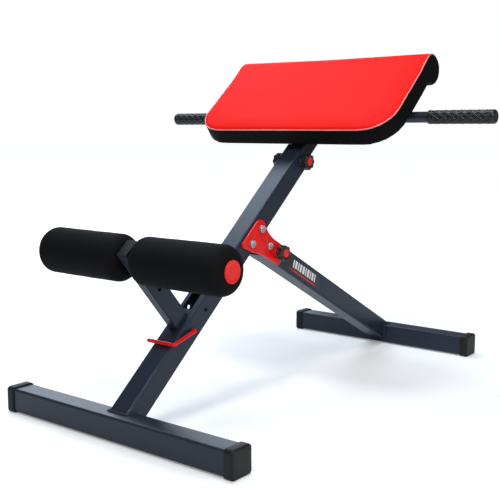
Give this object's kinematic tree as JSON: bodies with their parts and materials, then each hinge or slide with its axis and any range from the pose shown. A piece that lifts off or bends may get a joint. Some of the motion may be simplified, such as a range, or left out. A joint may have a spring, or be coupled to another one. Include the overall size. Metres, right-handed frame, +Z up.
{
  "type": "roman chair",
  "caption": "Folding back extension bench: inclined square-tube frame, hinged rear leg, sliding hip pad with a handlebar, and foam ankle rollers on a pinned arm.",
  "frame": {"origin": "on the floor, at the centre of the whole bench's box, midway between the two feet", "axes": "+X to the side with the lock knob and the pin's handle, +Y along the bench from the roller foot to the rear foot, +Z up"},
  "size_m": [0.924, 1.08, 0.7716],
  "materials": {
    "slate_steel": "satin",
    "black_steel": "satin",
    "red_steel": "gloss",
    "red_pin": "gloss",
    "zinc_steel": "satin",
    "black_plastic": "matte",
    "knob_plastic": "satin",
    "red_plastic": "gloss",
    "core_plastic": "matte",
    "grip_rubber": "matte",
    "roller_foam": "matte",
    "sticker_film": "satin",
    "board_wood": "matte",
    "pad_vinyl": "satin"
  },
  "bodies": {
    "frame": {"main_tube": "slate_steel", "front_foot_tube": "slate_steel", "front_foot_weld": "slate_steel", "front_cap_left": "black_plastic", "front_cap_right": "black_plastic", "side_plate_left": "red_steel", "side_plate_right": "red_steel", "plate_spacers": "zinc_steel", "plate_bolts": "zinc_steel", "plate_nuts": "zinc_steel", "pivot_bolt": "zinc_steel", "pivot_nut": "zinc_steel", "lock_nut": "zinc_steel", "knob_bosses": "zinc_steel", "tube_collar": "black_plastic", "roller_arm": "slate_steel", "arm_end_cap": "black_plastic", "roller_axle": "zinc_steel", "axle_collars": "black_plastic", "axle_end_nuts": "zinc_steel"},
    "rear_leg": {"rear_leg_tube": "slate_steel", "rear_foot_tube": "slate_steel", "rear_foot_weld": "slate_steel", "rear_cap_left": "black_plastic", "rear_cap_right": "black_plastic", "pivot_bush": "zinc_steel", "leg_sticker_left": "sticker_film", "leg_sticker_right": "sticker_film"},
    "pad_carriage": {"carriage_tube": "black_steel", "carriage_slider": "black_plastic", "carriage_end_cap": "black_plastic", "pad_bracket_lower": "black_steel", "pad_bracket_upper": "black_steel", "pad_screws": "zinc_steel", "handlebar": "black_steel", "bar_weld": "black_steel", "grip_left": "grip_rubber", "grip_right": "grip_rubber", "pad_board": "board_wood", "pad_cushion": "pad_vinyl"},
    "roller_left": {"foam_left": "roller_foam", "roller_core_left": "core_plastic", "roller_cap_left": "red_plastic"},
    "roller_right": {"foam_right": "roller_foam", "roller_core_right": "core_plastic", "roller_cap_right": "red_plastic"},
    "lock_knob": {"lock_knob": "knob_plastic", "lock_knob_insert": "red_plastic", "lock_knob_stud": "zinc_steel"},
    "pad_knob_left": {"pad_knob_left": "knob_plastic", "pad_knob_left_insert": "red_plastic", "pad_knob_left_stud": "zinc_steel"},
    "pad_knob_right": {"pad_knob_right": "knob_plastic", "pad_knob_right_insert": "red_plastic", "pad_knob_right_stud": "zinc_steel"},
    "locking_pin": {"locking_pin": "red_pin"}
  },
  "joints": [
    {"name": "leg_fold", "type": "hinge", "parent": "frame", "child": "rear_leg", "pos_m": [0, -0.06527, 0.33625], "axis": [-1, 0, 0], "range_deg": [0, 110]},
    {"name": "pad_slide", "type": "slide", "parent": "frame", "child": "pad_carriage", "axis": [0, 0.7604, 0.6494], "range_m": [0, 0.12]},
    {"name": "roller_left_spin", "type": "hinge", "parent": "frame", "child": "roller_left", "pos_m": [0, -0.45833, 0.34839], "axis": [1, 0, 0], "continuous": true},
    {"name": "roller_right_spin", "type": "hinge", "parent": "frame", "child": "roller_right", "pos_m": [0, -0.45833, 0.34839], "axis": [1, 0, 0], "continuous": true},
    {"name": "lock_knob_turn", "type": "hinge", "parent": "frame", "child": "lock_knob", "pos_m": [0, -0.02734, 0.316], "axis": [1, 0, 0], "continuous": true},
    {"name": "pad_knob_left_turn", "type": "hinge", "parent": "frame", "child": "pad_knob_left", "pos_m": [0, 0.07454, 0.52208], "axis": [1, 0, 0], "continuous": true},
    {"name": "pad_knob_right_turn", "type": "hinge", "parent": "frame", "child": "pad_knob_right", "pos_m": [0, 0.07454, 0.52208], "axis": [1, 0, 0], "continuous": true},
    {"name": "pin_slide", "type": "slide", "parent": "frame", "child": "locking_pin", "axis": [1, 0, 0], "range_m": [0, 0.12]}
  ]
}
